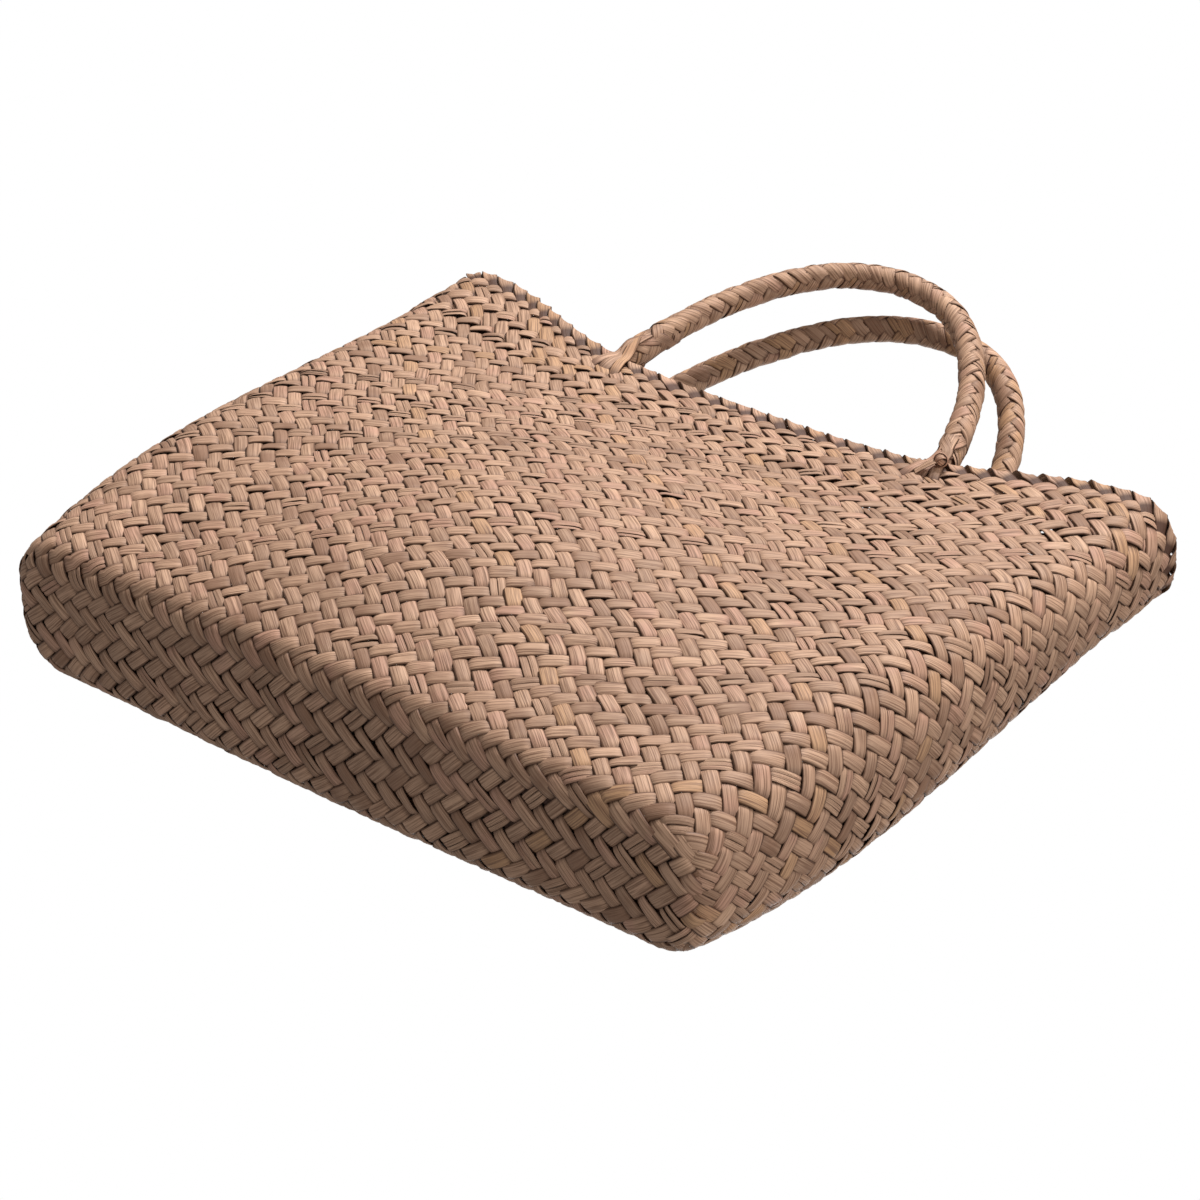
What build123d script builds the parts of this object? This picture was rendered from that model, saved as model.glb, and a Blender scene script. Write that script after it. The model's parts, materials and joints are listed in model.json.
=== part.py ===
from build123d import *
import os

# Two-handled plaited sedge basket, standing on its base with the mouth up.
# Millimetres. +X along the width, -Y is the front wall, base flat on Z = 0.

# --- basket body ---------------------------------------------------------
wall = 4.0
base_width = 334.0
base_depth = 62.0
base_corner = 24.0
base_fold = 12.0
belly_level = 95.0
belly_width = 366.0
belly_depth = 73.0
belly_corner = 30.0
belly_crown = 12.0
mouth_width = 374.0
mouth_depth = 44.0
mouth_corner = 19.0
mouth_crown = -5.0

# --- edge of the mouth ---------------------------------------------------
rim_mid = 275.0
rim_ear = 301.0
rim_side = 297.0
ear_reach = 169.0
rim_turn = 0.52
rim_share = 0.24
rim_fold = 1.6
rim_band = 34.0

# --- handles -------------------------------------------------------------
rope = 12.0
core = 6.4
front_shift = 6.0
rear_shift = 8.0
front_spread = 80.0
rear_spread = 88.0
front_rise = 90.0
rear_rise = 91.0
front_lean = 14.0
rear_lean = 25.0
front_skew = 0.0
rear_skew = 22.0
hinge_gap = 0.4
turns_thick = 1.4
turns_length = 12.0
turns_start = 9.0

# --- tails that tie each handle foot to the mouth -------------------------
tail_thick = 3.0
tail_top = 13.0
tail_foot = 24.0
tail_drop = 17.0
tail_gap = 0.3
knob = 7.0
knob_inset = 1.75
knob_sink = 0.7

# --- levels the basket is lofted through ----------------------------------
lower_level = 0.4 * belly_level
lower_share = 0.6
upper_level = (belly_level + rim_mid) / 2
upper_share = 0.45
loft_spare = 9.0
loft_top = rim_ear + loft_spare

# --- sizes of cutting tools, all well past the basket ---------------------
margin = 60.0
far = 3 * mouth_width
blade_thick = 0.02


def between(low, high, share):
    """Value a share of the way from low to high."""
    return low + share * (high - low)


def levels():
    """Height, width, depth, corner radius and crown of the basket, from base to mouth."""
    base = (base_width, base_depth, base_corner, 0.0)
    belly = (belly_width, belly_depth, belly_corner, belly_crown)
    mouth = (mouth_width, mouth_depth, mouth_corner, mouth_crown)
    lower = tuple(between(low, high, lower_share) for low, high in zip(base, belly))
    upper = tuple(between(low, high, upper_share) for low, high in zip(belly, mouth))
    return [
        (0.0, *base),
        (lower_level, *lower),
        (belly_level, *belly),
        (upper_level, *upper),
        (rim_mid, *mouth),
        (loft_top, *mouth),
    ]


def section(level, grow):
    """Outline of the basket at one level, grown outward by grow.

    Corners are round; the long sides swell or draw in by the crown at their middle.
    """
    height, width, depth, corner, crown = level
    radius = corner + grow
    run = width / 2 - corner
    half = depth / 2 + grow
    end = width / 2 + grow
    straight = depth / 2 - corner
    edges = []
    for side in (-1, 1):
        edges.append(Spline(
            (-run * side, half * side),
            (0, (half + crown) * side),
            (run * side, half * side),
            tangents=[(side, 0), (side, 0)],
        ))
        edges.append(RadiusArc((run * side, half * side), (end * side, straight * side), radius))
        edges.append(Line((end * side, straight * side), (end * side, -straight * side)))
        edges.append(RadiusArc((end * side, -straight * side), (run * side, -half * side), radius))
    return Pos(0, 0, height) * make_face(Curve() + edges)


def tube(grow, floor=0.0, fold=base_fold):
    """Closed solid inside the basket's skin grown by grow, rounded at the base."""
    solid = loft([section(level, grow) for level in levels()])
    if floor > 0:
        solid -= Pos(0, 0, (floor - margin) / 2) * Box(far, far, floor + margin)
    edges = solid.edges().group_by(Axis.Z)[0]
    return fillet(edges, fold)


def under_edge(drop):
    """Everything lower than the mouth edge line dropped by drop."""
    half = mouth_width / 2
    line = Spline(
        (-half - margin, rim_side - margin - drop),
        (-half, rim_side - drop),
        (-ear_reach, rim_ear - drop),
        (-rim_turn * half, between(rim_mid, rim_ear, rim_share) - drop),
        (0, rim_mid - drop),
        (rim_turn * half, between(rim_mid, rim_ear, rim_share) - drop),
        (ear_reach, rim_ear - drop),
        (half, rim_side - drop),
        (half + margin, rim_side - margin - drop),
    )
    frame = Polyline(line @ 0, (-half - margin, -margin), (half + margin, -margin), line @ 1)
    face = make_face(Plane.XZ * (line + frame))
    return extrude(face, amount=mouth_width, both=True)


def edge_height(x):
    """Height of the mouth edge at one place along the width."""
    blade = under_edge(0) & (Pos(x, 0, 0) * Box(blade_thick, wall, far))
    return blade.bounding_box().max.Z


def woven_body(skin, hollow):
    """One-piece plaited wall and base, left one fold's thickness short of the edge."""
    return (skin - hollow) & under_edge(rim_fold)


def folded_rim(skin, hollow, skin_over, body):
    """Strand ends turned over the edge and laid down the outside as a second layer."""
    return ((skin_over - hollow) & under_edge(0)) - under_edge(rim_band) - body


def tail_outline(x):
    """Block seen from the front: narrow at the edge, spreading out below it."""
    top = edge_height(x) - tail_gap
    low = top - tail_drop
    outline = Polyline(
        (x - tail_top / 2, top),
        (x + tail_top / 2, top),
        (x + tail_foot / 2, low),
        (x - tail_foot / 2, low),
        close=True,
    )
    return extrude(make_face(Plane.XZ * outline), amount=mouth_width, both=True)


def half_space(side):
    """Front half for side -1, back half for side +1."""
    return Pos(0, side * far / 2, 0) * Box(far, far, far)


def handle_sizes():
    """Side, shift, spread, rise, lean and skew of each handle."""
    return {
        "front": (-1, front_shift, front_spread, front_rise, front_lean, front_skew),
        "rear": (1, rear_shift, rear_spread, rear_rise, rear_lean, rear_skew),
    }


def foot_places(shift, spread):
    """X of the left and right foot of a handle."""
    return {"left": shift - spread, "right": shift + spread}


def foot_depth(spread):
    """Depth of the mouth across a handle's feet."""
    away = spread / (mouth_width / 2 - mouth_corner)
    return mouth_depth + 2 * mouth_crown * (1 - away) ** 2 * (1 + 2 * away)


def hinge_height(shift, spread):
    """Level of a hinge line: both rope ends sit just clear of the sloping mouth edge."""
    needed = []
    for x in foot_places(shift, spread).values():
        slope = (edge_height(x + rope / 2) - edge_height(x - rope / 2)) / rope
        needed.append(edge_height(x) + (rope / 2 + hinge_gap) * (1 + slope**2) ** 0.5)
    return max(needed)


def hinge_place(side, spread):
    """Y of a handle's hinge line, over the middle of the wall."""
    return side * (foot_depth(spread) - wall) / 2


def rope_line(spread, rise, skew):
    """Centre line of an upright handle from foot to foot, feet on the hinge line."""
    knots = [(1.0, 0.0), (0.89, 0.33), (0.73, 0.6), (0.36, 0.92), (0.0, 1.0)]
    left = [(-reach, height) for reach, height in knots]
    right = list(reversed(knots[:-1]))
    return Spline([(reach * spread + height * skew, 0, height * rise) for reach, height in left + right])


def rope_solid(line, thickness):
    """Round rope of one thickness along the handle line, with domed ends."""
    start = Plane(origin=line @ 0, z_dir=line % 0)
    solid = sweep(start * Circle(thickness / 2), path=line)
    for end in (line @ 0, line @ 1):
        solid += Pos(*end) * Sphere(thickness / 2)
    return solid


def foot_turns(line, end):
    """Last turns of strand that bind the plait just above its foot."""
    place = (turns_start + turns_length / 2) / line.length
    at = place if end == "left" else 1 - place
    plane = Plane(origin=line @ at, z_dir=line % at)
    collar = plane * Cylinder(rope / 2 + turns_thick, turns_length)
    return collar - rope_solid(line, rope)


def handle_parts(name, spread, rise, skew):
    """Every piece of one handle, upright, with its hinge line on the X axis."""
    line = rope_line(spread, rise, skew)
    inner = rope_solid(line, core)
    parts = {
        name + "_handle_core": inner,
        name + "_handle_plait": rope_solid(line, rope) - inner,
    }
    for end in ("left", "right"):
        parts[name + "_" + end + "_turns"] = foot_turns(line, end)
    return parts


def hinge_middle(side, shift, spread):
    """Middle of a handle's hinge line."""
    return (shift, hinge_place(side, spread), hinge_height(shift, spread))


def end_knob(outermost):
    """Rolled strand end standing on the front right foot's outer tail."""
    x = foot_places(front_shift, front_spread)["right"] + tail_top / 2 - knob_inset
    z = edge_height(x) - knob
    y = knob_sink - foot_depth(front_spread) / 2 - rim_fold - tail_thick - knob / 2
    return Pos(x, y, z) * Sphere(knob / 2) - outermost


def build():
    skin = tube(0)
    hollow = tube(-wall, wall, base_fold - wall)
    skin_over = tube(rim_fold)
    outermost = tube(rim_fold + tail_thick)
    body = woven_body(skin, hollow)
    pieces = {
        "woven_body": body,
        "folded_rim": folded_rim(skin, hollow, skin_over, body),
        "front_end_knob": end_knob(outermost),
    }
    outside = outermost - skin_over
    inside = hollow - tube(-wall - tail_thick, wall, base_fold - wall)
    for name, (side, shift, spread, rise, lean, skew) in handle_sizes().items():
        for end, x in foot_places(shift, spread).items():
            block = tail_outline(x) & half_space(side)
            pieces[name + "_" + end + "_outer_tail"] = outside & block
            pieces[name + "_" + end + "_inner_tail"] = inside & block
        middle = hinge_middle(side, shift, spread)
        print(name, "hinge at", [round(v, 2) for v in middle])
        for node, solid in handle_parts(name, spread, rise, skew).items():
            pieces[node] = Pos(*middle) * Rot(lean, 0, 0) * solid
    return pieces


os.makedirs("parts", exist_ok=True)
for node, solid in build().items():
    solid.label = node
    export_step(solid, "parts/" + node + ".step")
    box = solid.bounding_box()
    print(node, round(solid.volume), [round(v, 1) for v in (*box.min, *box.max)])
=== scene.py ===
import json
import math

import bpy
import numpy as np
from bpy.props import FloatProperty, FloatVectorProperty, IntProperty, PointerProperty, StringProperty
from mathutils import Matrix, Vector
from mathutils.bvhtree import BVHTree


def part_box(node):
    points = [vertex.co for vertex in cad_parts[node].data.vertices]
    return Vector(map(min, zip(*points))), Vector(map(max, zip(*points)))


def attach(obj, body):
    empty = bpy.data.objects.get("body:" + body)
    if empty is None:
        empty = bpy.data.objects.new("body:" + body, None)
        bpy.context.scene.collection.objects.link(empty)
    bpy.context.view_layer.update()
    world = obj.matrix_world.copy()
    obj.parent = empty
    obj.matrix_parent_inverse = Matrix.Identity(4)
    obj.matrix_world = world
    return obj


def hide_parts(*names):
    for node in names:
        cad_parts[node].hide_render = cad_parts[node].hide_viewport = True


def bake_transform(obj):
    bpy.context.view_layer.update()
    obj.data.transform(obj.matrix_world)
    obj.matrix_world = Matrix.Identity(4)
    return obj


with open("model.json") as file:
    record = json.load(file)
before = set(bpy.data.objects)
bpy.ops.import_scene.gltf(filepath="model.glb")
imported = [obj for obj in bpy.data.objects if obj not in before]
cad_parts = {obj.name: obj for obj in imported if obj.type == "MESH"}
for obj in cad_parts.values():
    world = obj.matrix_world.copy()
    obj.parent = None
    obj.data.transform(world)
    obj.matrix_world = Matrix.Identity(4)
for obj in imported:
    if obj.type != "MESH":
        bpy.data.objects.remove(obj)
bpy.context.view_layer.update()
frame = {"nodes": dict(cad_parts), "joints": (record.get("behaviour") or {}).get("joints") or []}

bl_info = {
    "name": "Plaited sedge basket",
    "version": (1, 0, 0),
    "blender": (4, 5, 0),
    "location": "View3D > Sidebar > Basket",
    "description": "Weaves a two-handled sedge basket strand by strand around its packed frame",
    "category": "Object",
}

MM = 0.001
HANDLE_AMBER = 0.2  # share of golden strands in the handles
RIM_AMBER = 0.25  # and in the rim
FLATNESS = 2.7  # how squarely a strand rises, lies flat and dives again


# --- sizes and colours a user would change --------------------------------

class WeaveSettings(bpy.types.PropertyGroup):
    """How the walls and the base are plaited."""
    front_units: IntProperty(name="Front units", description="Crossings along the front", default=36)
    side_units: IntProperty(name="Side units", description="Crossings along a short side", default=7)
    rows: IntProperty(name="Rows", description="Rows of crossings from base to mouth", default=39)
    samples: IntProperty(name="Samples", description="Path points from one crossing to the next", default=3)
    strand_width: FloatProperty(name="Strand width", description="Width of a flat strand",
                                default=6.4 * MM, unit="LENGTH", precision=4)
    strand_thick: FloatProperty(name="Strand thickness", description="Thickness of a strand at its middle",
                                default=0.75 * MM, unit="LENGTH", precision=4)
    strand_dome: FloatProperty(name="Strand dome", description="Rise of a strand's middle over its edges",
                               default=0.30 * MM, unit="LENGTH", precision=4)
    swing: FloatProperty(name="Swing", description="Rise and fall of a strand over and under the others",
                         default=0.9 * MM, unit="LENGTH", precision=4)
    depth: FloatProperty(name="Depth", description="How far the weave's middle lies inside the skin",
                         default=1.5 * MM, unit="LENGTH", precision=4)
    wander: FloatProperty(name="Wander", description="How far crossings stray, as a share of a unit",
                          default=0.13, min=0.0, max=0.5)
    seed: IntProperty(name="Seed", description="Seed for everything uneven", default=7)


class RimSettings(bpy.types.PropertyGroup):
    """How strand ends are turned over at the mouth."""
    wrap_radius: FloatProperty(name="Wrap radius", description="Radius of the turn over the mouth's edge",
                               default=2.2 * MM, unit="LENGTH", precision=4)
    band_rows: FloatProperty(name="Band rows", description="Rows covered by turned-down ends", default=4.6)
    band_lift: FloatProperty(name="Band lift", description="How far the doubled layer stands over the first",
                             default=1.0 * MM, unit="LENGTH", precision=4)
    slant: FloatProperty(name="Slant", description="Units travelled while turning over", default=0.75)


class HandleSettings(bpy.types.PropertyGroup):
    """How the rope handles are plaited."""
    strands: IntProperty(name="Strands each way", description="Strands winding in each direction", default=4)
    unit: FloatProperty(name="Plait unit", description="Length of rope from one crossing to the next",
                        default=6.9 * MM, unit="LENGTH", precision=4)
    swing: FloatProperty(name="Swing", description="Rise and fall of a strand in the plait",
                         default=0.36 * MM, unit="LENGTH", precision=4)
    front_skew: FloatProperty(name="Front skew", description="Sideways shift of the front handle's crown",
                              default=0.0, unit="LENGTH", precision=4)
    rear_skew: FloatProperty(name="Rear skew", description="Sideways shift of the rear handle's crown",
                             default=22 * MM, unit="LENGTH", precision=4)


class SedgeColours(bpy.types.PropertyGroup):
    """Colours of dried sedge, as sRGB hex."""
    shade: StringProperty(name="Shade", description="Weathered, darkest strands", default="#96725B")
    olive: StringProperty(name="Olive", description="Greenish strands", default="#AE8B72")
    tan: StringProperty(name="Tan", description="Most strands", default="#BC957A")
    pale: StringProperty(name="Pale", description="Fresh, pale strands", default="#C8A184")
    rose: StringProperty(name="Rose", description="Pinkish strands and split edges", default="#BC9079")
    amber: StringProperty(name="Amber", description="Single golden strands", default="#C4966A")
    fibre: StringProperty(name="Fibre", description="Fine lines between the fibres", default="#7C5A44")
    # Painted shade colour: laid where strands dive under others and along strand edges; also the dark grain
    # of the handle cores.
    gap: StringProperty(name="Gap", description="Where strands dive under others", default="#4A2C1E")


class StageSettings(bpy.types.PropertyGroup):
    """Camera, floor and light."""
    camera_place: FloatVectorProperty(name="Camera place", description="Where the camera stands",
                                      default=(0.6934, -0.6878, -0.7219), subtype="TRANSLATION")
    camera_aim: FloatVectorProperty(name="Camera aim", description="Direction the camera looks in",
                                    default=(-0.5221, 0.5328, 0.6660), subtype="DIRECTION")
    camera_right: FloatVectorProperty(name="Camera right", description="Direction of the picture's right",
                                      default=(0.7926, 0.0149, 0.6095), subtype="DIRECTION")
    camera_lens: FloatProperty(name="Lens", description="Focal length on a 36 mm sensor, in mm", default=98.4)
    floor_size: FloatProperty(name="Floor size", description="Side of the floor", default=12.0, unit="LENGTH")


# --- small helpers ---------------------------------------------------------

def linear(code):
    """Linear colour from an sRGB hex code."""
    parts = [int(code[i:i + 2], 16) / 255 for i in (1, 3, 5)]
    return tuple(c / 12.92 if c <= 0.04045 else ((c + 0.055) / 1.055) ** 2.4 for c in parts) + (1.0,)


def node(tree, kind, links=None, **settings):
    """Adds a node with its settings; links fills sockets by name or number with values or other sockets."""
    made = tree.nodes.new(kind)
    for name, value in settings.items():
        setattr(made, name, value)
    for name, value in (links or {}).items():
        socket = made.inputs[name]
        if isinstance(value, bpy.types.NodeSocket):
            tree.links.new(value, socket)
        else:
            socket.default_value = value
    return made


def unit_rows(vectors):
    """The same vectors, each of length one."""
    return vectors / np.maximum(np.linalg.norm(vectors, axis=-1, keepdims=True), 1e-12)


def smooth(low, high, value):
    """Soft step from 0 at low to 1 at high."""
    t = np.clip((value - low) / (high - low), 0, 1)
    return t * t * (3 - 2 * t)


def settings():
    """The scene's own settings for this basket."""
    return bpy.context.scene.basket_weave, bpy.context.scene.basket_rim, bpy.context.scene.basket_handle


# --- the skin that the weave follows ---------------------------------------

def tree_of(name):
    """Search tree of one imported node's mesh."""
    mesh = frame["nodes"][name].data
    return BVHTree.FromPolygons([v.co for v in mesh.vertices], [tuple(p.vertices) for p in mesh.polygons])


class Skin:
    """The basket's outer skin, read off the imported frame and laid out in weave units.

    u runs once round the basket from the front left corner, n runs up the wall from the middle of
    the fold between base and wall. Below zero, n carries on across the base.
    """

    fold_level = 3.5 * MM
    above_band = 30 * MM
    corner_reach = 120 * MM
    corner_share = 0.75
    edge_inset = 1.0 * MM
    steps = 90
    per_unit = 4
    near = 0.3
    rays = 60

    def __init__(self, weave, rim):
        self.body = tree_of("woven_body")
        self.edge = tree_of("folded_rim")
        self.front = weave.front_units
        self.side = weave.side_units
        self.rows = weave.rows
        self.around = 2 * (self.front + self.side)
        self.quarter = (self.front + self.side) / 2
        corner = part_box("woven_body")[1]
        self.half_width = corner.x
        self.half_depth = corner.y
        self.top_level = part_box("folded_rim")[0].z + self.above_band
        self.grid = np.array([self.quadrant(self.level(t)) for t in np.linspace(0, 1, self.steps)])
        self.top = self.edge_levels() - rim.wrap_radius - 0.8 * MM

    def level(self, t):
        """Height at one step of the grid, closer together near the base."""
        return self.fold_level + (self.top_level - self.fold_level) * t * t

    def quadrant(self, z):
        """Evenly spaced points along one level, from the middle of the front to the middle of the side."""
        run = self.half_width - self.half_depth
        places = [(Vector((x, -1, z)), Vector((0, 1, 0))) for x in np.linspace(0, run, self.rays)]
        for a in np.radians(np.linspace(-90, 0, self.rays))[1:]:
            way = Vector((math.cos(a), math.sin(a), 0))
            places.append((Vector((run, 0, z)) + way, -way))
        hits = np.array([self.body.ray_cast(start, way)[0][:2] for start, way in places])
        length = np.concatenate([[0], np.cumsum(np.linalg.norm(np.diff(hits, axis=0), axis=1))])
        even = np.linspace(0, length[-1], int(self.quarter * self.per_unit) + 1)
        turn = length[len(length) * 3 // 4]
        units = np.linspace(0, self.quarter, len(even))
        cornered = np.interp(units, [0, self.front / 2, self.quarter], [0, turn, length[-1]])
        low = self.corner_share * (1 - smooth(0, self.corner_reach, z))
        even = even * (1 - low) + cornered * low
        return np.stack([np.interp(even, length, hits[:, i]) for i in range(2)], axis=1)

    def edge_levels(self):
        """Height of the mouth's edge above each column of the grid."""
        heights = []
        for x, y in self.grid[-1]:
            inward = Vector((x, y, 0)) - Vector((x, y, 0)).normalized() * self.edge_inset
            inward.x = min(inward.x, self.half_width - 1.5 * self.edge_inset)
            hit = self.edge.ray_cast(Vector((inward.x, inward.y, 1)), Vector((0, 0, -1)))[0]
            heights.append(hit.z if hit else heights[-1])
        heights = np.array(heights)
        padded = np.concatenate([heights[4:0:-1], heights, heights[-2:-6:-1]])
        return np.convolve(padded, np.ones(9) / 9, mode="valid")

    def wall(self, u, n):
        """Points of the wall at n of zero or more."""
        around = (u - self.front / 2) % self.around
        half = self.around / 2
        back = around > half
        q = np.where(back, around - half, around)
        turned = q > self.quarter
        q = np.where(turned, half - q, q)
        column = q * self.per_unit
        c0 = np.clip(column.astype(int), 0, self.grid.shape[1] - 2)
        fc = (column - c0)[..., None]
        top = np.interp(column, np.arange(len(self.top)), self.top)
        z = self.fold_level + np.maximum(n, 0) / self.rows * (top - self.fold_level)
        share = (z - self.fold_level) / (self.top_level - self.fold_level)
        t = np.sqrt(np.clip(share, 0, 1)) * (self.steps - 1)
        r0 = np.clip(t.astype(int), 0, self.steps - 2)
        fr = (t - r0)[..., None]
        g = self.grid
        xy = ((g[r0, c0] * (1 - fc) + g[r0, c0 + 1] * fc) * (1 - fr)
              + (g[r0 + 1, c0] * (1 - fc) + g[r0 + 1, c0 + 1] * fc) * fr)
        x = np.where(back, -xy[..., 0], xy[..., 0])
        y = np.where(back, -xy[..., 1], xy[..., 1])
        y = np.where(turned, -y, y)
        return np.stack([x, y, z], axis=-1)

    def base(self, m, r):
        """Points of the base, m units from its left edge and r units behind its front edge."""
        m = np.clip(m, 0, self.front)
        r = np.clip(r, 0, self.side)
        s = (m / self.front)[..., None]
        t = (r / self.side)[..., None]
        zero = np.zeros_like(m)
        front, back = self.wall(m, zero), self.wall(self.around - self.side - m, zero)
        left, right = self.wall(self.around - r, zero), self.wall(self.front + r, zero)
        corner = [self.wall(np.array(float(u)), np.array(0.0)) for u in
                  (0, self.front, self.front + self.side, self.around - self.side)]
        points = (1 - t) * front + t * back + (1 - s) * left + s * right
        points -= (1 - s) * ((1 - t) * corner[0] + t * corner[3]) + s * ((1 - t) * corner[1] + t * corner[2])
        up = Vector((0, 0, 1))
        flat = points.reshape(-1, 3)
        for p in flat:
            hit = self.body.ray_cast(Vector((p[0], p[1], -1)), up)[0]
            p[2] = hit.z if hit and hit.z < 2 * self.fold_level else self.fold_level
        return flat.reshape(points.shape)

    def point(self, u, n):
        """Points of wall and base alike; below the fold the place carries on across the base."""
        points = self.wall(u, n)
        under = n < 0
        if under.any():
            uu, nn = u[under] % self.around, n[under]
            f, s = self.front, self.side
            m = np.select([uu <= f, uu <= f + s, uu <= 2 * f + s], [uu, f + nn, 2 * f + s - uu], -nn)
            r = np.select([uu <= f, uu <= f + s, uu <= 2 * f + s], [-nn, uu - f, s + nn], self.around - uu)
            points[under] = self.base(m, r)
        return points

    def facing(self, u, n):
        """Outward direction of the skin."""
        d = self.near
        across = self.point(u + d, n) - self.point(u - d, n)
        up = self.point(u, n + d) - self.point(u, n - d)
        return unit_rows(np.cross(across, up))

    def base_facing(self, m, r):
        """Outward direction of the base, downward at its middle."""
        d = self.near
        across = self.base(m + d, r) - self.base(m - d, r)
        back = self.base(m, r + d) - self.base(m, r - d)
        return unit_rows(np.cross(back, across))


# --- strands ---------------------------------------------------------------

class Bundle:
    """Paths of flat strands, collected before they are swept into one mesh."""

    def __init__(self):
        self.paths = []

    def add(self, points, facing, half_width, sink, shade):
        """One strand: middle line, outward direction, half width, rise from -1 to 1, shade from 0 to 1."""
        count = len(points)
        self.paths.append((
            points, unit_rows(facing), np.broadcast_to(half_width, count), np.broadcast_to(sink, count),
            shade,
        ))

    def sweep(self, name, weave, material, thick=None, dome=None):
        """The strands as one plain mesh object at the origin."""
        points = np.concatenate([p[0] for p in self.paths])
        edges, along, shades, start = [], [], [], 0
        for path, _, _, _, shade in self.paths:
            count = len(path)
            edges += [(k, k + 1) for k in range(start, start + count - 1)]
            along.append(np.concatenate([[0], np.cumsum(np.linalg.norm(np.diff(path, axis=0), axis=1))]))
            shades.append(np.full(count, shade))
            start += count
        mesh = bpy.data.meshes.new(name + "_paths")
        mesh.from_pydata(points.tolist(), edges, [])
        values = {
            "half_width": np.concatenate([p[2] for p in self.paths]),
            # sink holds the strand's rise; the material paints shade from it where the strand dives under.
            "sink": np.concatenate([p[3] for p in self.paths]),
            "along": np.concatenate(along),
            "shade": np.concatenate(shades),
        }
        for key, value in values.items():
            mesh.attributes.new(key, "FLOAT", "POINT").data.foreach_set("value", value.astype(np.float32))
        facing = np.concatenate([p[1] for p in self.paths]).astype(np.float32)
        mesh.attributes.new("facing", "FLOAT_VECTOR", "POINT").data.foreach_set("vector", facing.ravel())
        carrier = bpy.data.objects.new(name + "_paths", mesh)
        bpy.context.scene.collection.objects.link(carrier)
        tree = strand_tree(material)
        modifier = carrier.modifiers.new("Flat strand", "NODES")
        modifier.node_group = tree
        width = weave.strand_width / 2
        inputs = {
            "Thickness": (thick or weave.strand_thick) / 2 / width,
            "Dome": (weave.strand_dome if dome is None else dome) / width,
        }
        for item in tree.interface.items_tree:
            if item.in_out == "INPUT" and item.name in inputs:
                modifier[item.identifier] = inputs[item.name]
        return plain(carrier, name)


def plain(carrier, name):
    """Turns an object with live modifiers into a plain mesh object and removes the first one."""
    graph = bpy.context.evaluated_depsgraph_get()
    mesh = bpy.data.meshes.new_from_object(carrier.evaluated_get(graph))
    mesh.name = name
    made = bpy.data.objects.new(name, mesh)
    bpy.context.scene.collection.objects.link(made)
    bpy.data.objects.remove(carrier)
    return made


def strand_tree(material):
    """Geometry nodes that sweep a flat, domed strand along each path."""
    name = "Flat strand in " + material.name
    if name in bpy.data.node_groups:
        return bpy.data.node_groups[name]
    tree = bpy.data.node_groups.new(name, "GeometryNodeTree")
    face = tree.interface
    face.new_socket("Geometry", in_out="INPUT", socket_type="NodeSocketGeometry")
    face.new_socket("Thickness", in_out="INPUT", socket_type="NodeSocketFloat")
    face.new_socket("Dome", in_out="INPUT", socket_type="NodeSocketFloat")
    face.new_socket("Geometry", in_out="OUTPUT", socket_type="NodeSocketGeometry")
    given = node(tree, "NodeGroupInput")
    curve = node(tree, "GeometryNodeMeshToCurve", {"Mesh": given.outputs["Geometry"]})
    facing = node(tree, "GeometryNodeInputNamedAttribute", {"Name": "facing"}, data_type="FLOAT_VECTOR")
    turned = node(tree, "GeometryNodeSetCurveNormal",
                  {"Curve": curve.outputs[0], "Normal": facing.outputs[0]}, mode="FREE")
    ring = node(tree, "GeometryNodeCurvePrimitiveCircle", {"Resolution": 8, "Radius": 1.0})
    place = node(tree, "GeometryNodeInputPosition")
    parts = node(tree, "ShaderNodeSeparateXYZ", {0: place.outputs[0]})
    thin = node(tree, "ShaderNodeMath", {0: parts.outputs["X"], 1: given.outputs["Thickness"]},
                operation="MULTIPLY")
    square = node(tree, "ShaderNodeMath", {0: parts.outputs["Y"], 1: parts.outputs["Y"]},
                  operation="MULTIPLY")
    fall = node(tree, "ShaderNodeMath", {0: square.outputs[0], 1: given.outputs["Dome"]},
                operation="MULTIPLY")
    rise = node(tree, "ShaderNodeMath", {0: thin.outputs[0], 1: fall.outputs[0]}, operation="SUBTRACT")
    bent = node(tree, "ShaderNodeCombineXYZ", {"X": rise.outputs[0], "Y": parts.outputs["Y"]})
    profile = node(tree, "GeometryNodeSetPosition",
                   {"Geometry": ring.outputs[0], "Position": bent.outputs[0]})
    across = node(tree, "GeometryNodeInputPosition")
    side = node(tree, "ShaderNodeSeparateXYZ", {0: across.outputs[0]})
    marked = node(tree, "GeometryNodeStoreNamedAttribute",
                  {"Geometry": profile.outputs[0], "Name": "across", "Value": side.outputs["Y"]},
                  data_type="FLOAT", domain="POINT")
    width = node(tree, "GeometryNodeInputNamedAttribute", {"Name": "half_width"}, data_type="FLOAT")
    swept = node(tree, "GeometryNodeCurveToMesh", {
        "Curve": turned.outputs[0], "Profile Curve": marked.outputs[0],
        "Scale": width.outputs[0], "Fill Caps": True,
    })
    soft = node(tree, "GeometryNodeSetShadeSmooth", {"Geometry": swept.outputs[0], "Shade Smooth": True})
    real = node(tree, "GeometryNodeRealizeInstances", {"Geometry": soft.outputs[0]})
    painted = node(tree, "GeometryNodeSetMaterial", {"Geometry": real.outputs[0], "Material": material})
    node(tree, "NodeGroupOutput", {"Geometry": painted.outputs[0]})
    return tree


def rise_of(k):
    """Rise from -1 to 1 of a strand that goes over two and under two, k crossings along."""
    return np.tanh(FLATNESS * np.cos(2 * np.pi * (k - 0.5) / 4)) / math.tanh(FLATNESS)


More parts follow.
